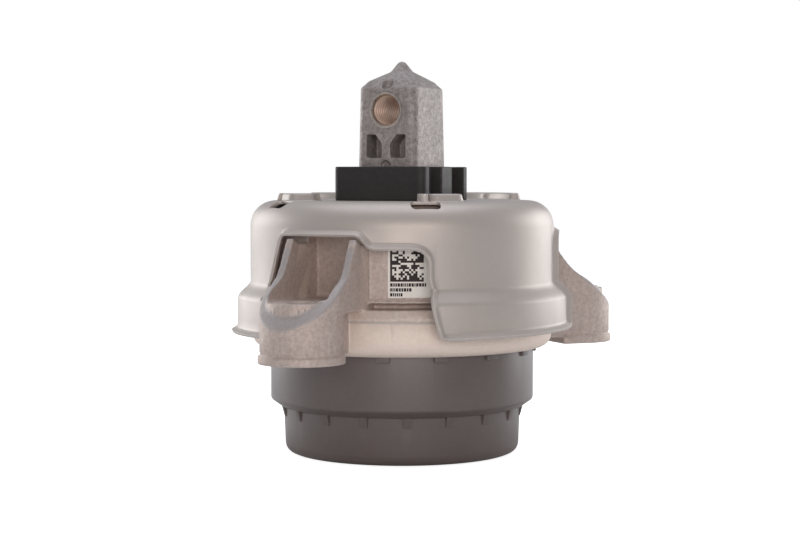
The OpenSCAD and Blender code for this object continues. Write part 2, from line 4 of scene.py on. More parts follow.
import bmesh
import bpy
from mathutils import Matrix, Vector


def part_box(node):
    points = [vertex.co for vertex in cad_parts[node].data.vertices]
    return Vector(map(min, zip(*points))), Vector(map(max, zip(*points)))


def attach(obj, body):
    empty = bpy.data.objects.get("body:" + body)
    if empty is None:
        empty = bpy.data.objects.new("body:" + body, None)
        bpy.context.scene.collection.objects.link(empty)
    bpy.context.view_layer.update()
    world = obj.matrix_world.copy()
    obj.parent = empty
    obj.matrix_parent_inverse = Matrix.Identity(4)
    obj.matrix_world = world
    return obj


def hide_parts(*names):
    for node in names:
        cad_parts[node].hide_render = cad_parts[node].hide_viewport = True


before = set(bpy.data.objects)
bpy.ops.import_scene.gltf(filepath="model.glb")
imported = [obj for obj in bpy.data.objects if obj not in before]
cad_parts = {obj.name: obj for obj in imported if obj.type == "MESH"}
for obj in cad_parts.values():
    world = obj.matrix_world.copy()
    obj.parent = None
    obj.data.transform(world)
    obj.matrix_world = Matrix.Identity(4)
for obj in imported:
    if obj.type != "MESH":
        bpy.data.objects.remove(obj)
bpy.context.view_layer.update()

# Looks of a hydraulic engine mount: a rough cast core and housing, a pressed heat shield, rubber
# and a plastic bowl. Lengths are in millimetres in the values, and in metres in Blender.
MM = 0.001

# Camera of the photograph: focal length, place, and degrees that it looks down
LENS = 81.0
CAMERA_AT = (-0.744, -669.6, 101.62)
CAMERA_DOWN = 2.862

# Bowl
BOWL_R = 48.8
BOWL_LOW_R = 44.0
BOWL_BASE_R = 43.3
BOWL_STEP_Z = 17.4
BOWL_STEP_RISE = 2.6
BOWL_STEP_R = 45.2
BOWL_WALL = 2.4
BOWL_FILLET = 3.8
BOWL_CENTRE_R = 2
BOWL_IN_RING = 4.7
GUSSETS = 18
GUSSET_FROM = -87.8
GUSSET_W = 2.8
GUSSET_H = 3.8
GUSSET_ROOT = 1.0
GUSSET_HEAD = 0.4
GUSSET_TIP = 0.1
LUGS = 15
LUG_FROM = -98.0
LUG_W = 5.2
LUG_H = 3.7
LUG_PROUD = 1.0
LUG_ROOT = 1.2
LUG_DROP = 2.1

# Heat shield
SHEET = 1.0
SHIELD_R = 56.2
SKIRT_R = 60.9
SKIRT_FLARE = 0.4
SHIELD_ROUND = 9.3
FLARE_DROP = 31.7
SKIRT_DROP = 47.5
EDGE_TILT = 0.9
CENTRE_HOLE_R = 15.5
FLARE_UP = 2.3
FLARE_H = 6.4
LIP_IN = 2.7

# Rings of the turned-out lip: how far past the sheet's cut edge, and how far out of the sheet
LIP_RINGS = [(0.35, 0.08), (0.7, 0.36), (1.15, 0.95), (1.55, 1.55), (1.9, 2.1)]

# Steps of a pressed pad's side: how far inwards each one goes, and how far up
PRESS_RINGS = [(0.2, 0.1), (0.25, 0.45), (0.2, 0.8), (0.2, 0.75), (0.25, 0.45), (0.3, 0.15)]

# Windows of the shield. The front one widens at the flare and again at the lower edge
POCKET_WINDOW_DROP = 11.9
LABEL_WINDOW_DROP = 16.4
LEG_GAP = 1.93
LABEL_COVER = 2.6
WIDER_LEFT = (6.2, 4.4)
WIDER_RIGHT = (2.4, 5.6)
REAR_GAP = 14.6
RIGHT_GAP = 13.7
FOOT_CORNER = 4.2
FOOT_OUT = 8.0
FOOT_UNDER = 1.3
WINDOW_LOW = 12.0
CURTAIN_FROM = 20.0
CURTAIN_DEPTH = 60.0

# Raised pads, raised band and slots in the shield's top
PAD_TURNS = (-69.0, 201.0)
PAD_RHO = 40.0
PAD_D = 12.0
PAD_W = 14.0
PAD_ROUND = 4.0
BAND_R = 41.75
BAND_W = 5.5
BAND_SPAN = 146.4
BAND_END_R = 2.3
BAND_RIBS = 4
RIB_R = 0.8
SLOT_TURN = 34.2
SLOT_RHO = 50.2
SLOT_L = 5.8
SLOT_W = 10.5
SLOT_ROUND = 1.7

# Legs, as directions round from +X, and their half width
LEG_A = 241.2
LEG_B = 21.5
LEG_R = 14.4
WINDOW_TURN = 9.8

# Label on the housing's wall
WALL_R = 50.0
LABEL_X = 2.55
LABEL_W = 14.9
LABEL_H = 16.7
LABEL_T = 0.2
INK_T = 0.04
CODE_MARGIN = 0.75
CODE_HEAD = 0.25
CODE_ROWS = 15
CODE_COLUMNS = 16
CODE_PITCH = 0.725
BAR_LINES = (12.2, 7.0, 4.4)
BAR_DROP = 0.55
BAR_STEP = 1.7
BAR_H = 1.15
BAR_GAP = 0.2

# Core and its threaded bush
CORE_ANGLE = 245.0
THREAD_CREST_R = 5.1
THREAD_ROOT_R = 5.75
BUSH_R = 6.07
THREAD_PITCH = 1.75
BUSH_L = 27.3
CORE_D = 28.9

# Lower ring of the housing, and the line between its turned band and the slope over it
RING_R = 55.5
BAND_Z = 51.8
BAND_DEEP = 4.5
SLOPE_SHARE = 0.5
LINE_HALF = 0.35
LINE_IN = 0.45

# Legs: a foot slab with a fine line over it, and a trimmed rim that rises to its inner side. Of
# each rim: direction, height at the tip, slope, and how fast it steepens
LEG_FROM = 48.0
FOOT_Z = 38.5
FOOT_T = 2.8
FOOT_FROM = 60.0
FOOT_PROUD = 0.35
FOOT_LINE = 0.9
FOOT_LINE_IN = 0.3
BOLT_RHO = 70.6
TIP_RHO = 85.0
LEG_WALL = 2.6
LEG_TOP = 80.3
RIM_BEND = 66.0
RIM_HALF = 0.45
RISE_FROM = 6.0
RISE_SLOPE = 0.5
RISE_MOST = 1.3
LEG_RIMS = [(LEG_A, 12.7, 0.78, 0.158), (-LEG_A, 12.7, 0.78, 0.158), (LEG_B, 13.2, 0.72, 0.048)]


def low(node):
    """Lowest height of a CAD node, in millimetres."""
    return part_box(node)[0].z / MM


def high(node):
    """Greatest height of a CAD node, in millimetres."""
    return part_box(node)[1].z / MM


DECK_Z = low("stop_buffer")
BOWL_TOP = high("bowl")
LABEL_LOW = low("label")
RING_Z = BOWL_TOP - BOWL_IN_RING
FLARE_Z = DECK_Z - FLARE_DROP
EDGE_Z = DECK_Z - SKIRT_DROP


# Working by hand

def deselect():
    if bpy.context.object and bpy.context.object.mode != "OBJECT":
        bpy.ops.object.mode_set(mode="OBJECT")
    bpy.ops.object.select_all(action="DESELECT")


def take(*pieces):
    """Selects these pieces alone, with the first one active."""
    deselect()
    for piece in pieces:
        piece.select_set(True)
    bpy.context.view_layer.objects.active = pieces[0]


def edit_all(piece):
    """Opens a piece in edit mode, with all of it selected."""
    take(piece)
    bpy.ops.object.mode_set(mode="EDIT")
    bpy.ops.mesh.select_all(action="SELECT")


def added(name, data):
    """A new object in the scene."""
    piece = bpy.data.objects.new(name, data)
    bpy.context.scene.collection.objects.link(piece)
    return piece


def modified(piece, kind, **settings):
    """Adds a modifier with these settings, and applies it."""
    take(piece)
    modifier = piece.modifiers.new(kind, kind)
    for name, value in settings.items():
        setattr(modifier, name, value)
    bpy.ops.object.modifier_apply(modifier=modifier.name)
    return piece


def settle(piece, name):
    """Names a piece and puts its place into its mesh."""
    take(piece)
    bpy.ops.object.transform_apply(location=True, rotation=True, scale=True)
    piece.name = name
    piece.data.name = name
    return piece


def joined(pieces):
    take(*pieces)
    if len(pieces) > 1:
        bpy.ops.object.join()
    return pieces[0]


def copied(piece, turn):
    """A copy of a piece with its own mesh, turned round the mount's axis."""
    twin = piece.copy()
    twin.data = piece.data.copy()
    bpy.context.scene.collection.objects.link(twin)
    twin.rotation_euler = (0, 0, math.radians(turn))
    take(twin)
    bpy.ops.object.transform_apply(rotation=True)
    return twin


def faces_out(piece):
    edit_all(piece)
    bpy.ops.mesh.remove_doubles(threshold=1e-6)
    bpy.ops.mesh.normals_make_consistent(inside=False)
    bpy.ops.object.mode_set(mode="OBJECT")


def close_ends(piece):
    """Closes each open ring of a turned shape with one flat face."""
    edit_all(piece)
    bpy.ops.mesh.fill_holes(sides=0)
    bpy.ops.object.mode_set(mode="OBJECT")


def smooth(piece, angle=35):
    take(piece)
    bpy.ops.object.shade_smooth_by_angle(angle=math.radians(angle))
    return piece


def arc(cx, cz, r, start, end, steps):
    """Points along a circular arc, from one angle to another."""
    turns = [math.radians(start + (end - start) * i / steps) for i in range(steps + 1)]
    return [(cx + r * math.cos(t), cz + r * math.sin(t)) for t in turns]


def rounded(points, steps=5):
    """An outline whose corners are rounded. A point is (x, y, radius)."""
    made = []
    for i, (x, y, r) in enumerate(points):
        if r == 0 or i in (0, len(points) - 1):
            made.append((x, y))
            continue
        here = Vector((x, y))
        back = Vector(points[i - 1][:2]) - here
        ahead = Vector(points[i + 1][:2]) - here
        half = back.angle(ahead) / 2
        reach = min(r / math.tan(half), back.length * 0.49, ahead.length * 0.49)
        a = here + back.normalized() * reach
        b = here + ahead.normalized() * reach
        for k in range(steps + 1):
            t = k / steps
            p = a * (1 - t) ** 2 + here * (2 * t * (1 - t)) + b * t ** 2
            made.append((p.x, p.y))
    return made


def ring_of(outline, segments, name):
    """A shape of revolution: a circle at the outline's first point, extruded ring by ring."""
    deselect()
    r, z = outline[0]
    bpy.ops.mesh.primitive_circle_add(vertices=segments, radius=r * MM, location=(0, 0, z * MM))
    piece = bpy.context.object
    edit_all(piece)
    for (r_a, z_a), (r_b, z_b) in zip(outline, outline[1:]):
        bpy.ops.mesh.extrude_region_move(
            TRANSFORM_OT_translate={"value": (0, 0, (z_b - z_a) * MM)})
        growth = r_b / r_a
        bpy.ops.transform.resize(value=(growth, growth, 1), center_override=(0, 0, z_b * MM))
    bpy.ops.object.mode_set(mode="OBJECT")
    return settle(piece, name)


def bevelled_block(size, at, bevel, name):
    """A block with rounded edges, from its size and its middle."""
    deselect()
    bpy.ops.mesh.primitive_cube_add(size=MM, location=Vector(at) * MM)
    piece = bpy.context.object
    piece.scale = size
    settle(piece, name)
    return modified(piece, "BEVEL", width=bevel * MM, segments=3, limit_method="NONE")


def cad_copy(node, name):
    """A copy of a CAD node's mesh, with its loose triangles merged."""
    piece = added(name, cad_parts[node].data.copy())
    edit_all(piece)
    bpy.ops.mesh.remove_doubles(threshold=2e-6)
    bpy.ops.object.mode_set(mode="OBJECT")
    return piece


def softened(piece, voxel, passes, triangles):
    """Gives a copied solid the soft edges and fillets of a casting or moulding."""
    modified(piece, "REMESH", mode="VOXEL", voxel_size=voxel * MM)
    modified(piece, "SMOOTH", factor=0.5, iterations=passes)
    count = sum(len(p.vertices) - 2 for p in piece.data.polygons)
    if count > triangles:
        modified(piece, "DECIMATE", ratio=triangles / count)
    take(piece)
    bpy.ops.object.shade_smooth()
    return piece


def finish_piece(piece, slot, material, *nodes):
    """Gives a piece its material, and lets it ride in place of its CAD nodes. Its slot is not
    used.
    """
    piece.data.materials.clear()
    piece.data.materials.append(material)
    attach(piece, "root")
    if nodes:
        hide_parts(*nodes)


# Node groups that more than one material uses

class Group:
    """A shader node group under construction."""

    def __init__(self, name, inputs, outputs):
        self.tree = bpy.data.node_groups.new(name, "ShaderNodeTree")
        for kind, label, value in inputs:
            socket = self.tree.interface.new_socket(label, in_out="INPUT", socket_type=kind)
            socket.default_value = value
        for kind, label in outputs:
            self.tree.interface.new_socket(label, in_out="OUTPUT", socket_type=kind)
        self.taken = self.tree.nodes.new("NodeGroupInput").outputs
        self.given = self.tree.nodes.new("NodeGroupOutput").inputs

    def add(self, kind, settings=None, **sockets):
        return add_node(self.tree, kind, settings, **sockets)

    def link(self, a, b):
        self.tree.links.new(a, b)


def add_node(tree, kind, settings=None, **sockets):
    """Adds a node. Its sockets are named, with underscores for spaces, or numbered as i0, i1 and
    so on, and each takes a value or an output."""
    node = tree.nodes.new("ShaderNode" + kind)
    for name, value in (settings or {}).items():
        setattr(node, name, value)
    for name, value in sockets.items():
        numbered = name[0] == "i" and name[1:].isdigit()
        socket = node.inputs[int(name[1:]) if numbered else name.replace("_", " ")]
        if isinstance(value, bpy.types.NodeSocket):
            tree.links.new(value, socket)
        else:
            socket.default_value = value
    return node


def grain_group():
    """Grain of a cast or blasted skin: a height, and a light and dark mask."""
    g = Group("cast_grain",
              [("NodeSocketFloat", "Size", 0.5), ("NodeSocketFloat", "Pitting", 0.5)],
              [("NodeSocketFloat", "Height"), ("NodeSocketFloat", "Light")])
    place = g.add("TexCoord").outputs["Object"]
    per_metre = g.add("Math", {"operation": "DIVIDE"}, i0=1 / MM, i1=g.taken["Size"]).outputs[0]
    fine = g.add("TexNoise", Vector=place, Scale=per_metre, Detail=3.0, Roughness=0.6)
    coarse_scale = g.add("Math", {"operation": "MULTIPLY"}, i0=per_metre, i1=0.23).outputs[0]
    coarse = g.add("TexNoise", Vector=place, Scale=coarse_scale, Detail=2.0)
    pit_scale = g.add("Math", {"operation": "MULTIPLY"}, i0=per_metre, i1=0.45).outputs[0]
    pits = g.add("TexVoronoi", Vector=place, Scale=pit_scale)
    pit = g.add("MapRange", Value=pits.outputs["Distance"], From_Min=0.05, From_Max=0.3,
                To_Min=1.0, To_Max=0.0)
    pitted = g.add("Math", {"operation": "MULTIPLY"}, i0=pit.outputs[0], i1=g.taken["Pitting"])
    body = g.add("Math", {"operation": "MULTIPLY_ADD"}, i0=coarse.outputs["Fac"], i1=0.8,
                 i2=fine.outputs["Fac"])
    height = g.add("Math", {"operation": "SUBTRACT"}, i0=body.outputs[0], i1=pitted.outputs[0])
    g.link(height.outputs[0], g.given["Height"])
    light = g.add("MapRange", Value=height.outputs[0], From_Min=0.5, From_Max=1.3)
    g.link(light.outputs[0], g.given["Light"])
    return g.tree


def blotch_group():
    """Slow changes of tone over a skin, between 0 and 1."""
    g = Group("blotch", [("NodeSocketFloat", "Size", 12.0)], [("NodeSocketFloat", "Tone")])
    place = g.add("TexCoord").outputs["Object"]
    per_metre = g.add("Math", {"operation": "DIVIDE"}, i0=1 / MM, i1=g.taken["Size"]).outputs[0]
    noise = g.add("TexNoise", Vector=place, Scale=per_metre, Detail=4.0, Roughness=0.55)
    tone = g.add("MapRange", Value=noise.outputs["Fac"], From_Min=0.3, From_Max=0.7)
    g.link(tone.outputs[0], g.given["Tone"])
    return g.tree


def edge_group():
    """Mask of edges, from how far a rounded normal leaves the true one, for wear and for painted
    highlight along edges.
    """
    g = Group("edge_wear_and_highlight", [("NodeSocketFloat", "Strength", 1.0)], [("NodeSocketFloat", "Edge")])
    soft = g.add("Bevel", {"samples": 4}, Radius=0.8 * MM)
    true = g.add("NewGeometry")
    lean = g.add("VectorMath", {"operation": "DOT_PRODUCT"}, i0=soft.outputs["Normal"],
                 i1=true.outputs["Normal"])
    edge = g.add("MapRange", Value=lean.outputs["Value"], From_Min=0.995, From_Max=0.9)
    scaled = g.add("Math", {"operation": "MULTIPLY", "use_clamp": True}, i0=edge.outputs[0],
                   i1=g.taken["Strength"])
    g.link(scaled.outputs[0], g.given["Edge"])
    return g.tree


GRAIN = grain_group()
BLOTCH = blotch_group()
EDGE = edge_group()


class Finish:
    """A material under construction, round one Principled shader."""

    def __init__(self, name, **plain):
        self.material = bpy.data.materials.new(name)
        self.material.use_nodes = True
        self.tree = self.material.node_tree
        self.shader = self.tree.nodes["Principled BSDF"]
        for label, value in plain.items():
            self.shader.inputs[label.replace("_", " ")].default_value = value

    def add(self, kind, settings=None, **sockets):
        return add_node(self.tree, kind, settings, **sockets)

    def group(self, tree, **sockets):
        node = self.tree.nodes.new("ShaderNodeGroup")
        node.node_tree = tree
        for name, value in sockets.items():
            node.inputs[name].default_value = value
        return node.outputs

    def mixed(self, mask, a, b):
        """A colour between a and b; each is a colour or an output."""
        node = self.tree.nodes.new("ShaderNodeMix")
        node.data_type = "RGBA"
        for socket, value in ((node.inputs[0], mask), (node.inputs[6], a), (node.inputs[7], b)):
            if isinstance(value, bpy.types.NodeSocket):
                self.tree.links.new(value, socket)
            else:
                socket.default_value = value
        return node.outputs[2]

    def spread(self, mask, a, b):
        """A number from a to b as the mask goes from 0 to 1."""
        return self.add("MapRange", Value=mask, To_Min=a, To_Max=b).outputs[0]

    def set(self, **links):
        for label, output in links.items():
            self.tree.links.new(output, self.shader.inputs[label.replace("_", " ")])

    def bump(self, height, depth, strength=1.0):
        """Raises the skin by a height in millimetres."""
        node = self.add("Bump", Strength=strength, Distance=depth * MM, Height=height)
        self.set(Normal=node.outputs[0])


def srgb(r, g, b):
    """A colour as it shows on screen, from 0 to 255, as Blender's linear one."""
    def linear(c):
        c = c / 255
        return c / 12.92 if c <= 0.04045 else ((c + 0.055) / 1.055) ** 2.4
    return (linear(r), linear(g), linear(b), 1.0)


def cast_aluminium(name, pale, dark, grain, pitting, depth):
    """A cast skin. The attribute rim marks the legs' trimmed edges, smoother on the real part,
    which are painted a darker cool grey, and the fine line over the turned ring, where that grey
    is painted shade. The attribute band marks the turned ring, which is brighter."""
    m = Finish(name, Metallic=0.3)
    skin = m.group(GRAIN, Size=grain, Pitting=pitting)
    tone = m.group(BLOTCH, Size=14.0)["Tone"]
    edge = m.group(EDGE, Strength=0.6)["Edge"]
    speckled = m.mixed(skin["Light"], dark, pale)
    toned = m.mixed(m.spread(tone, 0.0, 0.25), speckled, dark)
    edge_lightened = m.mixed(m.spread(edge, 0.0, 0.35), toned, srgb(228, 222, 216))
    band = m.add("Attribute", {"attribute_name": "band"}).outputs["Fac"]
    turned = m.mixed(m.spread(band, 0.0, 0.7), edge_lightened, srgb(252, 236, 222))
    # Rims painted a darker cool grey; on the fine line over the band that grey is painted shade
    rim = m.add("Attribute", {"attribute_name": "rim"}).outputs["Fac"]
    cool = m.mixed(m.spread(rim, 0.0, 0.6), turned, srgb(164, 163, 166))
    m.set(Base_Color=cool, Roughness=m.spread(skin["Light"], 0.65, 0.5))
    m.bump(skin["Height"], depth)
    return m.material


def shield_sheet():
    m = Finish("aluminised_sheet", Metallic=0.35)
    skin = m.group(GRAIN, Size=0.35, Pitting=0.15)
    tone = m.group(BLOTCH, Size=30.0)["Tone"]
    edge = m.group(EDGE, Strength=0.8)["Edge"]
    base = m.mixed(tone, srgb(196, 186, 179), srgb(186, 178, 173))
    fine = m.mixed(m.spread(skin["Light"], 0.0, 0.12), base, srgb(225, 216, 208))
    # Painted highlight: edges and the lip's rim are lightened where they catch light, with some
    # wear
    edge_lightened = m.mixed(m.spread(edge, 0.0, 0.45), fine, srgb(232, 222, 212))
    m.set(Base_Color=edge_lightened, Roughness=m.spread(tone, 0.42, 0.5))
    m.bump(skin["Height"], 0.012)
    return m.material


def moulded_rubber(name, colour, bloom):
    m = Finish(name, Specular_IOR_Level=0.35)
    skin = m.group(GRAIN, Size=0.4, Pitting=0.2)
    tone = m.group(BLOTCH, Size=9.0)["Tone"]
    base = m.mixed(m.spread(tone, 0.0, 0.5), colour, bloom)
    fine = m.mixed(m.spread(skin["Light"], 0.0, 0.12), base, srgb(96, 92, 92))
    m.set(Base_Color=fine, Roughness=m.spread(skin["Light"], 0.62, 0.5))
    m.bump(skin["Height"], 0.02)
    return m.material


def bowl_plastic():
    m = Finish("glass_filled_plastic", Specular_IOR_Level=0.85)
    skin = m.group(GRAIN, Size=0.3, Pitting=0.1)
    tone = m.group(BLOTCH, Size=18.0)["Tone"]
    base = m.mixed(tone, srgb(99, 87, 83), srgb(92, 81, 78))
    fine = m.mixed(m.spread(skin["Light"], 0.0, 0.1), base, srgb(140, 130, 124))
    m.set(Base_Color=fine, Roughness=m.spread(tone, 0.3, 0.37))
    m.bump(skin["Height"], 0.01)
    return m.material


def machined_metal(name, colour, rough):
    """Turned or stamped metal that is only seen when the mount is taken apart."""
    m = Finish(name, Metallic=0.9)
    place = m.add("TexCoord").outputs["Object"]
    flat = m.add("Mapping", Vector=place, Scale=(1.0, 1.0, 0.0)).outputs[0]
    lines = m.add("TexWave", {"wave_type": "RINGS", "rings_direction": "Z"}, Vector=flat,
                  Scale=900.0, Distortion=0.6)
    tone = m.group(BLOTCH, Size=10.0)["Tone"]
    m.set(Base_Color=m.mixed(m.spread(tone, 0.0, 0.4), colour, srgb(150, 147, 144)),
          Roughness=m.spread(lines.outputs["Fac"], rough - 0.06, rough + 0.06))
    m.bump(lines.outputs["Fac"], 0.008)
    return m.material


def bush_bronze():
    """Thread metal. The attribute root is 1 at the bottom of the thread, which is painted darker
    as painted shade in the thread's grooves.
    """
    m = Finish("bush_bronze", Metallic=0.2)
    tone = m.group(BLOTCH, Size=3.0)["Tone"]
    crest = m.mixed(m.spread(tone, 0.0, 0.4), srgb(250, 224, 206), srgb(228, 192, 170))
    # Painted shade in the grooves at the bottom of the thread
    root = m.add("Attribute", {"attribute_name": "root"}).outputs["Fac"]
    m.set(Base_Color=m.mixed(m.spread(root, 0.0, 0.85), crest, srgb(128, 86, 70)),
          Roughness=m.spread(tone, 0.3, 0.42))
    return m.material


def label_film():
    m = Finish("label_film", Specular_IOR_Level=0.4)
    tone = m.group(BLOTCH, Size=5.0)["Tone"]
    m.set(Base_Color=m.mixed(tone, srgb(250, 246, 240), srgb(244, 238, 230)),
          Roughness=m.spread(tone, 0.45, 0.6))
    return m.material


def label_ink():
    m = Finish("label_ink", Specular_IOR_Level=0.3)
    tone = m.group(BLOTCH, Size=1.0)["Tone"]
    m.set(Base_Color=m.mixed(tone, srgb(44, 34, 33), srgb(58, 48, 46)),
          Roughness=m.spread(tone, 0.5, 0.65))
    return m.material


# Bowl

def bowl_outline():
    """The bowl's outline from the middle of its bottom, up the outside and down the inside."""
    inner = BOWL_R - BOWL_WALL
    return rounded([
        (BOWL_CENTRE_R, 0, 0), (BOWL_BASE_R, 0, BOWL_FILLET), (BOWL_LOW_R, BOWL_STEP_Z, 0.5),
        (BOWL_STEP_R, BOWL_STEP_Z, 0.4), (BOWL_R, BOWL_STEP_Z + BOWL_STEP_RISE, 1.2),
        (BOWL_R, BOWL_TOP, 0.4), (inner, BOWL_TOP, 0.4),
        (inner, BOWL_STEP_Z + BOWL_STEP_RISE + BOWL_WALL, 2),
        (BOWL_LOW_R - BOWL_WALL, BOWL_STEP_Z + 1, 2),
        (BOWL_BASE_R - BOWL_WALL, BOWL_WALL, 2.5), (BOWL_CENTRE_R, BOWL_WALL, 0)])


def make_bowl():
    bowl = ring_of(bowl_outline(), 240, "bowl_looks")
    close_ends(bowl)
    faces_out(bowl)
    gusset = make_gusset()
    lug = bevelled_block((LUG_PROUD + LUG_ROOT, LUG_W, LUG_H),
                         (BOWL_R + (LUG_PROUD - LUG_ROOT) / 2, 0, RING_Z - LUG_DROP + LUG_H / 2),
                         0.35, "lug")
    extras = [copied(gusset, GUSSET_FROM + i * 360 / GUSSETS) for i in range(GUSSETS)]
    extras += [copied(lug, LUG_FROM + i * 360 / LUGS) for i in range(LUGS)]
    bpy.data.objects.remove(gusset)
    bpy.data.objects.remove(lug)
    tool = joined(extras)
    modified(bowl, "BOOLEAN", operation="UNION", object=tool, solver="EXACT")
    bpy.data.objects.remove(tool)
    return smooth(bowl)


def make_gusset():
    """One gusset under the bowl's step, on +X: a block whose lower outer edge is cut off."""
    reach = BOWL_STEP_R - BOWL_LOW_R
    gusset = bevelled_block((reach + GUSSET_ROOT, GUSSET_W, GUSSET_H + GUSSET_HEAD),
                            (BOWL_LOW_R + (reach - GUSSET_ROOT) / 2, 0,
                             BOWL_STEP_Z + (GUSSET_HEAD - GUSSET_H) / 2),
                            0.15, "gusset")
    for v in gusset.data.vertices:
        drop = (BOWL_STEP_Z - v.co.z / MM) / GUSSET_H
        out = v.co.x / MM - BOWL_LOW_R
        if out > 0:
            kept = 1 - (1 - GUSSET_TIP) * max(drop, 0)
            v.co.x = (BOWL_LOW_R + out * max(GUSSET_TIP, kept)) * MM
    return gusset


# Heat shield

def shield_outline():
    """The shield's outer line, from its centre hole over the top and down to its lower edge.
    Points on its flat top and its straight side only divide them."""
    flare = []
    for i in range(17):
        t = i / 16
        step = t * t * (3 - 2 * t)
        flare.append((SHIELD_R + (SKIRT_R - SHIELD_R) * step, FLARE_Z + FLARE_UP - FLARE_H * t))
    top = [(CENTRE_HOLE_R, DECK_Z), (24, DECK_Z), (30, DECK_Z)]
    dome = arc(SHIELD_R - SHIELD_ROUND, DECK_Z - SHIELD_ROUND, SHIELD_ROUND, 90, 0, 16)
    side = [(SHIELD_R, DECK_Z - 14), (SHIELD_R, DECK_Z - 19), (SHIELD_R, DECK_Z - 24)]
    skirt = [(SKIRT_R + SKIRT_FLARE * 0.5, EDGE_Z + 4), (SKIRT_R + SKIRT_FLARE, EDGE_Z - 4)]
    return top + dome + side + flare + skirt


def thinned(points, least):
    """A line without the points that lie closer than least to the one kept before them."""
    made = [points[0]]
    for p in points[1:-1]:
        if math.dist(p, made[-1]) >= least and math.dist(p, points[-1]) >= least:
            made.append(p)
    return made + [points[-1]]


def offset_line(points, d):
    """An open outline moved to its left by d."""
    made = []
    for i, (x, y) in enumerate(points):
        a = points[max(i - 1, 0)]
        b = points[min(i + 1, len(points) - 1)]
        along = Vector((b[0] - a[0], b[1] - a[1])).normalized()
        made.append((x - along.y * d, y + along.x * d))
    return made


def window_feet(points, edge, low):
    """Widens both feet of a window's outline with rounded corners, and runs them down to low."""
    x_a, x_b = points[0][0], points[-1][0]
    foot = edge - FOOT_UNDER
    left = [(x_a - FOOT_OUT, low, 0), (x_a - FOOT_OUT, foot, 0), (x_a, foot, FOOT_CORNER)]
    right = [(x_b, foot, FOOT_CORNER), (x_b + FOOT_OUT, foot, 0), (x_b + FOOT_OUT, low, 0)]
    return left + points[1:-1] + right


def front_window():
    """The front window: a bolt pocket on the left and the label on the right, a step between."""
    top = DECK_Z - POCKET_WINDOW_DROP
    label_top = DECK_Z - LABEL_WINDOW_DROP
    line = SHIELD_R * math.sin(math.radians(WINDOW_TURN))
    left = -line - LEG_R - LEG_GAP
    leg_right = LEG_R - line
    left_flare, left_foot = left - WIDER_LEFT[0], left - WIDER_LEFT[1]
    label_side = -90 + math.degrees((LABEL_X + LABEL_W / 2) / WALL_R)
    across = SHIELD_R * math.sin(math.radians(label_side + 360 - LEG_A - WINDOW_TURN))
    right = across - LABEL_COVER
    right_flare, right_foot = right + WIDER_RIGHT[0], right + WIDER_RIGHT[1]
    return [
        (left_foot, EDGE_Z, 0), (left_foot, FLARE_Z - 5, 3), (left_flare, FLARE_Z - 1, 3),
        (left, top, 2.2), (leg_right - 1.5, top, 4),
        (leg_right + 2.6, label_top, 4), (right, label_top, 5), (right, FLARE_Z + 5, 5),
        (right_flare, FLARE_Z - 4, 5), (right_foot, EDGE_Z, 0)]


def side_window(gap):
    """A window with the same gap to both sides of its leg."""
    top = DECK_Z - POCKET_WINDOW_DROP
    half = LEG_R + gap
    return [(-half, EDGE_Z, 0), (-half, top, 3.2), (half, top, 3.2), (half, EDGE_Z, 0)]


WINDOWS = [
    (LEG_A + WINDOW_TURN, front_window()),
    (-LEG_A, side_window(REAR_GAP)),
    (LEG_B, side_window(RIGHT_GAP)),
]


def edge_height(x):
    """Height of the shield's sloping lower edge, at x."""
    return EDGE_Z + x * math.tan(math.radians(EDGE_TILT))


def window_line(turn, points):
    """The line of a window that its lip starts from, with its feet at the lower edge."""
    a = math.radians(turn)
    x = SKIRT_R * math.cos(a)
    outline = rounded(window_feet(points, edge_height(x), EDGE_Z - WINDOW_LOW), 8)
    return thinned(offset_line(thinned(outline, 0.3), LIP_IN), 0.2)


def curtain(points, turn):
    """A wall through a window's outline, from the shield's inside outwards in direction turn."""
    mesh = bpy.data.meshes.new("curtain")
    edges = [(i, i + 1) for i in range(len(points) - 1)]
    mesh.from_pydata([(s * MM, -CURTAIN_FROM * MM, z * MM) for s, z in points], edges, [])
    piece = added("curtain", mesh)
    edit_all(piece)
    bpy.ops.mesh.extrude_region_move(
        TRANSFORM_OT_translate={"value": (0, -CURTAIN_DEPTH * MM, 0)})
    bpy.ops.object.mode_set(mode="OBJECT")
    piece.rotation_euler = (0, 0, math.radians(turn + 90))
    return settle(piece, "curtain")


def fence(points):
    """An upright wall through the shield's top and its round shoulder, on a closed outline."""
    mesh = bpy.data.meshes.new("fence")
    count = len(points)
    foot, head = (DECK_Z - 6) * MM, (DECK_Z + 4) * MM
    mesh.from_pydata([(x * MM, y * MM, foot) for x, y in points]
                     + [(x * MM, y * MM, head) for x, y in points], [],
                     [(i, (i + 1) % count, count + (i + 1) % count, count + i)
                      for i in range(count)])
    return added("fence", mesh)


def inside(points, x, y):
    """Whether a point lies inside a closed outline."""
    found = False
    for (x_a, y_a), (x_b, y_b) in zip(points, points[1:] + points[:1]):
        if (y_a > y) != (y_b > y) and x < (x_b - x_a) * (y - y_a) / (y_b - y_a) + x_a:
            found = not found
    return found


def in_window(place, turn, points):
    """Whether a point of the shield lies in a window's outline, seen along direction turn."""
    a = math.radians(turn)
    across = place.y * math.cos(a) - place.x * math.sin(a)
    along = place.x * math.cos(a) + place.y * math.sin(a)
    return along > 0 and inside(points, across / MM, place.z / MM)


def placed(points, rho, turn):
    """An outline about the origin, moved out to rho and turned round the axis."""
    a = math.radians(turn)
    return [((rho + x) * math.cos(a) - y * math.sin(a), (rho + x) * math.sin(a) + y * math.cos(a))
            for x, y in points]


def round_rectangle(d, w, r):
    made = []
    for sign_x, sign_y, start in ((1, 1, 0), (-1, 1, 90), (-1, -1, 180), (1, -1, 270)):
        made += arc(sign_x * (d / 2 - r), sign_y * (w / 2 - r), r, start, start + 90, 7)
    return made


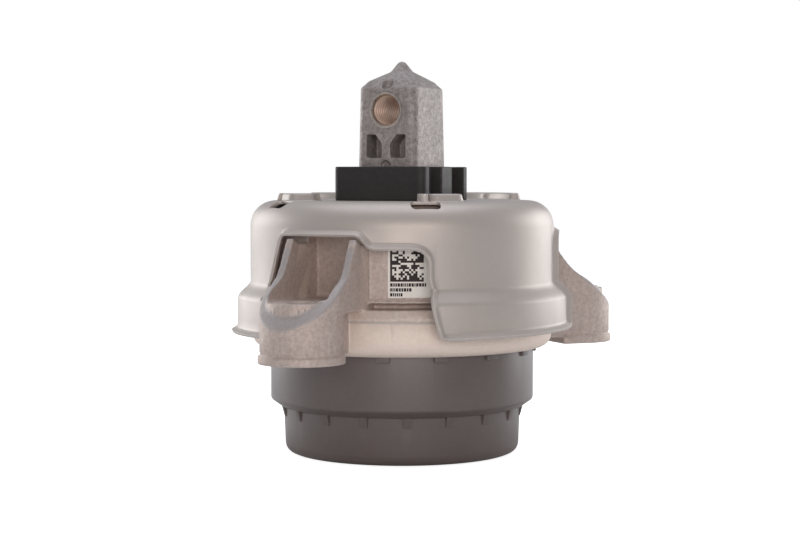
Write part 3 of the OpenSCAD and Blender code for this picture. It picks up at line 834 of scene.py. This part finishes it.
def band_outline():
    """The raised band's outline from above, with ribs as shallow waves on its inner side."""
    length = math.radians(BAND_SPAN) * BAND_R
    flat = round_rectangle(BAND_W, length, BAND_END_R)
    whole = []
    for (x, y_a), (_, y_b) in zip(flat, flat[1:] + flat[:1]):
        steps = max(1, int(abs(y_b - y_a) / 0.7))
        whole += [(x, y_a + (y_b - y_a) * i / steps) for i in range(steps)]
    made = []
    for x, y in whole:
        if x < 0:
            for k in range(1, BAND_RIBS):
                off = y - length * (k / BAND_RIBS - 0.5)
                x -= RIB_R * math.exp(-(off / (2 * RIB_R)) ** 2)
        a = math.radians(BAND_SPAN / 2) + y / BAND_R
        made.append(((BAND_R + x) * math.cos(a), (BAND_R + x) * math.sin(a)))
    return made


def shield_normal(place):
    """Outward direction of the shield's side at a point on it."""
    line = shield_outline()
    z = place.z / MM
    best = min(range(len(line) - 1), key=lambda i: abs((line[i][1] + line[i + 1][1]) / 2 - z))
    (r_a, z_a), (r_b, z_b) = line[best], line[best + 1]
    round_axis = Vector((place.x, place.y, 0)).normalized()
    lean = Vector((z_a - z_b, r_b - r_a)).normalized()
    return (round_axis * lean.x + Vector((0, 0, lean.y))).normalized()


def boundary_loop(work, start):
    """The vertices of one open edge, in order."""
    loop = [start]
    edge = next(e for e in start.link_edges if e.is_boundary)
    while True:
        ahead = edge.other_vert(loop[-1])
        if ahead in loop:
            return loop
        loop.append(ahead)
        edge = next(e for e in ahead.link_edges if e.is_boundary and e is not edge)


def smooth_tangents(points, reach):
    """Directions along a closed line, averaged over a length to either side of each point."""
    count = len(points)
    chords = [points[(i + 1) % count] - points[i] for i in range(count)]
    made = []
    for i in range(count):
        total = Vector()
        for step in (1, -1):
            walked, k = 0.0, i if step == 1 else i - 1
            while walked < reach * 2:
                chord = chords[k % count]
                middle = walked + chord.length / 2
                total += chord * math.exp(-(middle / reach) ** 2)
                walked += chord.length
                k += step
        made.append(total.normalized())
    return made


def bridge(work, rings):
    """Faces between each ring of vertices and the next one."""
    for a, b in zip(rings, rings[1:]):
        for i in range(len(a)):
            k = (i + 1) % len(a)
            work.faces.new((a[i], a[k], b[k], b[i]))


def turn_out_lip(work):
    """Extrudes the shield's lower rim, with the sides of its windows, into a turned-out lip."""
    start = min((v for v in work.verts if v.is_boundary), key=lambda v: v.co.z)
    loop = boundary_loop(work, start)
    points = [v.co.copy() for v in loop]
    along = smooth_tangents(points, 0.6 * MM)
    # Of the two directions across the rim, the one that leaves the sheet
    sides = []
    for v, t in zip(loop, along):
        n = shield_normal(v.co)
        away = n.cross(t).normalized()
        sheet_side = sum((f.calc_center_median() - v.co for f in v.link_faces), Vector())
        sides.append((n, away, away.dot(sheet_side)))
    flip = 1 if sum(s[2] for s in sides) < 0 else -1
    rings = [loop]
    for inward, proud in LIP_RINGS:
        rings.append([work.verts.new(p + away * (flip * inward * MM) + n * (proud * MM))
                      for p, (n, away, _) in zip(points, sides)])
    bridge(work, rings)


def press_up(work, outline):
    """Presses the part of the shield's top inside an outline up, with soft steps."""
    faces = [f for f in work.faces
             if f.calc_center_median().z > (DECK_Z - 0.5) * MM
             and inside(outline, f.calc_center_median().x / MM, f.calc_center_median().y / MM)]
    chosen = set(faces)
    ahead = {}
    for f in faces:
        for corner in f.loops:
            if not any(other in chosen for other in corner.edge.link_faces if other is not f):
                ahead[corner.vert] = corner.link_loop_next.vert
    loop = [next(iter(ahead))]
    while ahead[loop[-1]] is not loop[0] and len(loop) < len(ahead):
        loop.append(ahead[loop[-1]])
    points = [v.co.copy() for v in loop]
    up_side = faces[0].normal
    inwards = [up_side.cross(t).normalized() for t in smooth_tangents(points, 0.5 * MM)]
    rings = [loop]
    inward = up = 0.0
    for step_in, step_up in PRESS_RINGS:
        inward += step_in
        up += step_up
        rings.append([work.verts.new(p + n * (inward * MM) + Vector((0, 0, up * MM)))
                      for p, n in zip(points, inwards)])
    bridge(work, rings)
    # The pressed part keeps its own faces, on the last ring
    lifted = dict(zip(loop, rings[-1]))
    for v in {v for f in faces for v in f.verts if v not in lifted}:
        v.co.z += up * MM
    edged = [f for f in faces if any(v in lifted for v in f.verts)]
    for f in edged:
        work.faces.new([lifted.get(v, v) for v in f.verts])
    bmesh.ops.delete(work, geom=edged, context="FACES")


def make_shield():
    """The shield from one turned sheet: windows cut out, top pressed up, rim turned out."""
    sheet = ring_of(shield_outline(), 288, "heat_shield_looks")
    windows = [(turn, window_line(turn, points)) for turn, points in WINDOWS]
    pad = round_rectangle(PAD_D, PAD_W, PAD_ROUND)
    slot = round_rectangle(SLOT_L, SLOT_W, SLOT_ROUND)
    pads = [placed(pad, PAD_RHO, turn) for turn in PAD_TURNS]
    slots = [placed(slot, SLOT_RHO, CORE_ANGLE + side * SLOT_TURN) for side in (-1, 1)]
    band = band_outline()
    cutters = [curtain(line, turn) for turn, line in windows]
    cutters += [fence(outline) for outline in pads + slots + [band]]
    cutter = joined(cutters)
    for name in ("sheet", "cutter"):
        for piece in (sheet, cutter):
            piece.data.materials.append(bpy.data.materials.get(name)
                                        or bpy.data.materials.new(name))
    for polygon in cutter.data.polygons:
        polygon.material_index = 1
    joined([sheet, cutter])
    bpy.ops.object.mode_set(mode="EDIT")
    bpy.ops.mesh.select_all(action="DESELECT")
    sheet.active_material_index = 1
    bpy.ops.object.material_slot_select()
    bpy.ops.mesh.intersect(mode="SELECT_UNSELECT", separate_mode="CUT", solver="EXACT")
    bpy.ops.object.mode_set(mode="OBJECT")

    work = bmesh.new()
    work.from_mesh(sheet.data)
    gone = []
    for f in work.faces:
        centre = f.calc_center_median()
        in_slot = centre.z > (DECK_Z - 4) * MM and any(
            inside(outline, centre.x / MM, centre.y / MM) for outline in slots)
        if f.material_index == 1 or in_slot or any(
                in_window(centre, turn, line) for turn, line in windows):
            gone.append(f)
    bmesh.ops.delete(work, geom=gone, context="FACES")
    tilt = math.radians(EDGE_TILT)
    bmesh.ops.bisect_plane(work, geom=work.verts[:] + work.edges[:] + work.faces[:],
                           plane_co=(0, 0, (EDGE_Z + LIP_IN) * MM),
                           plane_no=(math.sin(tilt), 0, -math.cos(tilt)), clear_outer=True)
    bmesh.ops.remove_doubles(work, verts=work.verts, dist=0.06 * MM)
    bmesh.ops.dissolve_degenerate(work, edges=work.edges, dist=0.01 * MM)
    for outline in pads + [band]:
        press_up(work, outline)
    turn_out_lip(work)
    bmesh.ops.recalc_face_normals(work, faces=work.faces)
    outward = sum(f.normal.dot(Vector((f.calc_center_median().x, f.calc_center_median().y, 0)))
                  for f in work.faces)
    if outward < 0:
        bmesh.ops.reverse_faces(work, faces=work.faces)
    work.to_mesh(sheet.data)
    work.free()
    modified(sheet, "SOLIDIFY", thickness=SHEET * MM, offset=-1.0, use_even_offset=False,
             use_quality_normals=True)
    faces_out(sheet)
    modified(sheet, "BEVEL", width=0.25 * MM, segments=2, limit_method="ANGLE",
             angle_limit=math.radians(55))
    return smooth(sheet, 50)


# Core, bush, buffer and housing

def make_core():
    return softened(cad_copy("core", "core_looks"), voxel=0.32, passes=3, triangles=150000)


def make_buffer():
    buffer = cad_copy("stop_buffer", "stop_buffer_looks")
    return softened(buffer, voxel=0.3, passes=12, triangles=60000)


def leg_frame(place, turn):
    """Distance along a leg from the axis, and to its side, in millimetres."""
    a = math.radians(turn)
    x, y = place.x / MM, place.y / MM
    return x * math.cos(a) + y * math.sin(a), y * math.cos(a) - x * math.sin(a)


def leg_centre(turn, rho):
    """The point of a leg's middle line at a distance from the axis."""
    a = math.radians(turn)
    return Vector((math.cos(a), math.sin(a), 0)) * (rho * MM)


def share(value):
    """A value held between 0 and 1."""
    return min(max(value, 0), 1)


def rim_height(rho, tip_h, slope, steep):
    bend = steep * (RIM_BEND - rho) ** 2 if rho < RIM_BEND else 0
    return FOOT_Z + tip_h + slope * (TIP_RHO - rho) + bend


def make_housing():
    """The casting: its legs' rims and its turned band marked, and its fine lines pushed in."""
    housing = softened(cad_copy("housing", "housing_looks"), voxel=0.45, passes=2,
                       triangles=190000)
    mark = housing.data.attributes.new("rim", "FLOAT", "POINT")
    turned = housing.data.attributes.new("band", "FLOAT", "POINT")
    values = [0.0] * len(housing.data.vertices)
    bands = [0.0] * len(housing.data.vertices)
    for i, v in enumerate(housing.data.vertices):
        z = v.co.z / MM
        r = math.hypot(v.co.x, v.co.y) / MM
        if RING_R - BAND_DEEP < r < RING_R + 0.2:
            bands[i] = 1.0 if z < BAND_Z else SLOPE_SHARE
            # Painted shade: the fine line over the band is pushed in and painted the rim's darker
            # cool grey
            if abs(z - BAND_Z) < LINE_HALF:
                values[i] = 0.8
                v.co.x *= 1 - LINE_IN / RING_R
                v.co.y *= 1 - LINE_IN / RING_R
        for turn, tip_h, slope, steep in LEG_RIMS:
            rho, side = leg_frame(v.co, turn)
            if rho < LEG_FROM or abs(side) > LEG_R + 1:
                continue
            span = math.hypot(max(rho - BOLT_RHO, 0), side)
            in_wall = share((span - (LEG_R - LEG_WALL - 0.9)) / 0.6)
            height = min(rim_height(rho, tip_h, slope, steep), LEG_TOP)
            off = abs(z - height)
            values[i] = max(values[i], in_wall * share(2 - off / RIM_HALF))
            if rho > BOLT_RHO - RISE_FROM and off < 1.5:
                ease = share((rho - BOLT_RHO + RISE_FROM) / RISE_FROM)
                rise = RISE_SLOPE * max(LEG_R - span, 0) * ease
                v.co.z += min(rise, RISE_MOST) * in_wall * share(3 - 2 * off) * MM
            if z < FOOT_Z + FOOT_T + FOOT_LINE and span > LEG_R - 1 and rho > FOOT_FROM:
                out = Vector((v.co.x, v.co.y, 0)) - leg_centre(turn, min(rho, BOLT_RHO))
                proud = FOOT_PROUD if z < FOOT_Z + FOOT_T else -FOOT_LINE_IN
                v.co += out.normalized() * (proud * MM)
    mark.data.foreach_set("value", values)
    turned.data.foreach_set("value", bands)
    return housing


def make_bush():
    """The bush's thread: one tooth turned round the bore by a screw modifier. A tooth's point is
    a radius and a place along the thread, in pitches."""
    middle = (low("thread_bush") + high("thread_bush")) / 2
    turns = math.floor(BUSH_L / THREAD_PITCH) - 1
    tooth = [(BUSH_R, -0.5), (THREAD_ROOT_R, -0.42), (THREAD_CREST_R, -0.06),
             (THREAD_CREST_R, 0.06), (THREAD_ROOT_R, 0.42), (BUSH_R, 0.5)]
    mesh = bpy.data.meshes.new("bush_thread")
    edges = [(i, i + 1) for i in range(len(tooth) - 1)]
    points = [(r * MM, 0, (t - turns / 2) * THREAD_PITCH * MM) for r, t in tooth]
    mesh.from_pydata(points, edges + [(len(tooth) - 1, 0)], [])
    bush = added("thread_bush_looks", mesh)
    modified(bush, "SCREW", angle=math.tau, steps=64, render_steps=64, axis="Z",
             iterations=turns, screw_offset=THREAD_PITCH * MM)
    close_ends(bush)
    faces_out(bush)
    # Painted shade: how deep each point of the thread lies, which darkens its grooves
    painted_root_shade = [(math.hypot(v.co.x, v.co.y) / MM - THREAD_CREST_R) / (THREAD_ROOT_R - THREAD_CREST_R)
              for v in bush.data.vertices]
    bush.data.attributes.new("root", "FLOAT", "POINT").data.foreach_set("value", painted_root_shade)
    bush.rotation_euler = (0, math.radians(90), math.radians(CORE_ANGLE))
    bush.location = (0, 0, middle * MM)
    return smooth(settle(bush, "thread_bush_looks"), 40)


def make_bore_rings():
    """The bright turned chamfers at both ends of the bush."""
    middle = (low("thread_bush") + high("thread_bush")) / 2
    half = CORE_D / 2
    rings = []
    for side in (0, 180):
        line = [(THREAD_CREST_R + 0.05, half - 1.3), (THREAD_CREST_R + 0.25, half - 0.75),
                (BUSH_R - 0.25, half - 0.02), (BUSH_R + 0.2, half + 0.06),
                (BUSH_R + 0.42, half + 0.02), (BUSH_R + 0.42, half - 0.6), (BUSH_R, half - 1.3)]
        ring = ring_of(line + line[:1], 96, "bore_ring")
        faces_out(ring)
        ring.rotation_euler = (0, math.radians(90 + side), math.radians(CORE_ANGLE))
        ring.location = (0, 0, middle * MM)
        rings.append(settle(ring, "bore_ring"))
    return smooth(settle(joined(rings), "bore_rings"), 40)


# Label

def on_wall(u, v, lift):
    """A point on the label, from its middle, bent round the housing's wall."""
    turn = math.radians(-90) + (LABEL_X + u) / WALL_R
    r = WALL_R + lift
    z = LABEL_LOW + LABEL_H / 2 + v
    return (r * math.cos(turn) * MM, r * math.sin(turn) * MM, z * MM)


def bent_plate(u_a, u_b, v_a, v_b, base, top, name, corner=0.0):
    """A thin plate that follows the wall, from its two sides, its foot and its head."""
    outline = rounded([
        (u_a + corner, v_a, 0), (u_b, v_a, corner), (u_b, v_b, corner), (u_a, v_b, corner),
        (u_a, v_a, corner), (u_a + corner, v_a, 0)], 4)[:-1]
    fine = []
    for a, b in zip(outline, outline[1:] + outline[:1]):
        steps = max(1, int(abs(b[0] - a[0]) / 0.9))
        fine += [(a[0] + (b[0] - a[0]) * i / steps, a[1] + (b[1] - a[1]) * i / steps)
                 for i in range(steps)]
    mesh = bpy.data.meshes.new(name)
    work = bmesh.new()
    outer = [work.verts.new(on_wall(u, v, top)) for u, v in fine]
    inner = [work.verts.new(on_wall(u, v, base)) for u, v in fine]
    bridge(work, [outer, inner])
    work.faces.new(outer)
    work.faces.new(list(reversed(inner)))
    bmesh.ops.recalc_face_normals(work, faces=work.faces)
    bmesh.ops.triangulate(work, faces=[f for f in work.faces if len(f.verts) > 4])
    work.to_mesh(mesh)
    work.free()
    return added(name, mesh)


def make_label():
    half_w, half_h = LABEL_W / 2, LABEL_H / 2
    return bent_plate(-half_w, half_w, -half_h, half_h, 0.0, LABEL_T, "label_looks", 0.8)


def make_label_marks():
    """A block pattern and plain bars, with no code or writing in them."""
    chance = random.Random(7)
    marks = []
    left = -LABEL_W / 2 + CODE_MARGIN
    foot = LABEL_H / 2 - CODE_HEAD - CODE_ROWS * CODE_PITCH
    for row in range(CODE_ROWS):
        start = None
        for column in range(CODE_COLUMNS + 1):
            border = column == 0 or row == 0
            dark = column < CODE_COLUMNS and (border or chance.random() < 0.48)
            if dark and start is None:
                start = column
            if not dark and start is not None:
                marks.append((left + start * CODE_PITCH, left + column * CODE_PITCH,
                              foot + row * CODE_PITCH, foot + (row + 1) * CODE_PITCH))
                start = None
    for line, length in enumerate(BAR_LINES):
        top = foot - BAR_DROP - line * BAR_STEP
        u = left
        while u < left + length:
            width = chance.uniform(0.3, 0.9)
            marks.append((u, u + width, top - BAR_H, top))
            u += width + BAR_GAP
    pieces = [bent_plate(a, b, c, d, LABEL_T, LABEL_T + INK_T, "mark") for a, b, c, d in marks]
    ink = joined(pieces)
    ink.name = "label_marks"
    return ink


# Materials

casting = cast_aluminium("housing_casting", srgb(226, 210, 201), srgb(172, 156, 148), 0.32, 0.3,
                         0.04)
rough_casting = cast_aluminium("core_casting", srgb(200, 191, 188), srgb(112, 104, 102), 0.36, 0.6,
                               0.07)
sheet_metal = shield_sheet()
rubber = moulded_rubber("vulcanised_rubber", srgb(40, 38, 38), srgb(58, 55, 55))
stop_rubber = moulded_rubber("buffer_rubber", srgb(44, 41, 42), srgb(54, 51, 52))
plastic = bowl_plastic()
plate = machined_metal("stamped_plate", srgb(176, 174, 172), 0.35)
steel = machined_metal("turned_steel", srgb(160, 158, 156), 0.3)
bronze = bush_bronze()
film = label_film()
ink = label_ink()
bright = machined_metal("bright_chamfer", srgb(226, 214, 204), 0.25)

finish_piece(make_bowl(), "bowl_plastic", plastic, "bowl")
finish_piece(make_shield(), "shield_sheet", sheet_metal, "heat_shield")
finish_piece(make_housing(), "housing_casting", casting, "housing")
finish_piece(make_core(), "core_casting", rough_casting, "core")
finish_piece(make_buffer(), "stop_rubber", stop_rubber, "stop_buffer")
finish_piece(make_bush(), "bush_bronze", bronze, "thread_bush")
finish_piece(make_bore_rings(), "bush_bronze", bright)
finish_piece(make_label(), "label_film", film, "label")
finish_piece(make_label_marks(), "label_film", ink)

CARRIED = {
    "bowl_seal": rubber, "bellows": rubber, "decoupler_membrane": rubber, "main_spring": rubber,
    "lower_channel_plate": plate, "upper_channel_plate": plate, "fill_plug": steel,
    "spring_ring": steel,
}
for node, material in CARRIED.items():
    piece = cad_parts[node]
    piece.data.materials.clear()
    piece.data.materials.append(material)


# Studio

# Light that the floor adds for the camera alone, which keeps it white with the shadow on it
FLOOR_LIFT = 0.8


def make_stage():
    """A pale floor, white where only the camera sees it, that keeps the mount's shadow."""
    deselect()
    bpy.ops.mesh.primitive_plane_add(size=8, location=(0, 0, 0))
    floor = settle(bpy.context.object, "floor")
    m = Finish("pale_floor", Roughness=0.8, Specular_IOR_Level=0.2)
    m.shader.inputs["Base Color"].default_value = (0.86, 0.86, 0.87, 1)
    path = m.add("LightPath")
    lift = m.add("Math", {"operation": "MULTIPLY"}, i0=path.outputs["Is Camera Ray"],
                 i1=FLOOR_LIFT)
    glow = m.add("Emission", Color=(1, 1, 1, 1), Strength=lift.outputs[0])
    lit = m.add("AddShader", i0=glow.outputs[0])
    m.tree.links.new(m.shader.outputs[0], lit.inputs[1])
    m.tree.links.new(lit.outputs[0], m.tree.nodes["Material Output"].inputs["Surface"])
    floor.data.materials.append(m.material)


def make_world():
    world = bpy.data.worlds.new("white_studio")
    bpy.context.scene.world = world
    world.use_nodes = True
    tree = world.node_tree
    base = tree.nodes["Background"]
    base.inputs["Color"].default_value = (0.9, 0.92, 0.96, 1)
    base.inputs["Strength"].default_value = 0.3
    white = add_node(tree, "Background", Color=(1, 1, 1, 1), Strength=1.0)
    path = add_node(tree, "LightPath")
    mix = add_node(tree, "MixShader", i0=path.outputs["Is Camera Ray"])
    tree.links.new(base.outputs[0], mix.inputs[1])
    tree.links.new(white.outputs[0], mix.inputs[2])
    tree.links.new(mix.outputs[0], tree.nodes["World Output"].inputs["Surface"])


def softbox(name, at, aim, size, power, colour=(1, 1, 1)):
    light = bpy.data.lights.new(name, "AREA")
    light.shape = "RECTANGLE"
    light.size, light.size_y = size
    light.energy = power
    light.color = colour
    box = added(name, light)
    box.location = at
    box.rotation_euler = (Vector(aim) - Vector(at)).to_track_quat("-Z", "Y").to_euler()


def make_camera():
    data = bpy.data.cameras.new("photo_view")
    data.lens = LENS
    data.sensor_width = 36
    data.sensor_fit = "HORIZONTAL"
    data.clip_start = 0.02
    camera = added("photo_view", data)
    camera.location = Vector(CAMERA_AT) * MM
    camera.rotation_euler = (math.radians(90 - CAMERA_DOWN), 0, 0)
    bpy.context.scene.camera = camera


make_stage()
make_world()
make_camera()
softbox("left_box", (-0.74, 0.52, 0.2), (0, 0, 0.07), (0.7, 0.6), 4.6)
softbox("right_box", (0.74, 0.52, 0.2), (0, 0, 0.07), (0.7, 0.6), 4.3)
softbox("top_box", (0, 0.1, 0.8), (0, 0, 0.07), (0.7, 0.7), 2.5, (0.88, 0.92, 1.0))
softbox("front_fill", (0.1, -1.3, 0.3), (0, 0, 0.05), (1.0, 0.5), 5.0, (1.0, 0.92, 0.87))

bpy.context.scene.view_settings.view_transform = "Standard"
deselect()
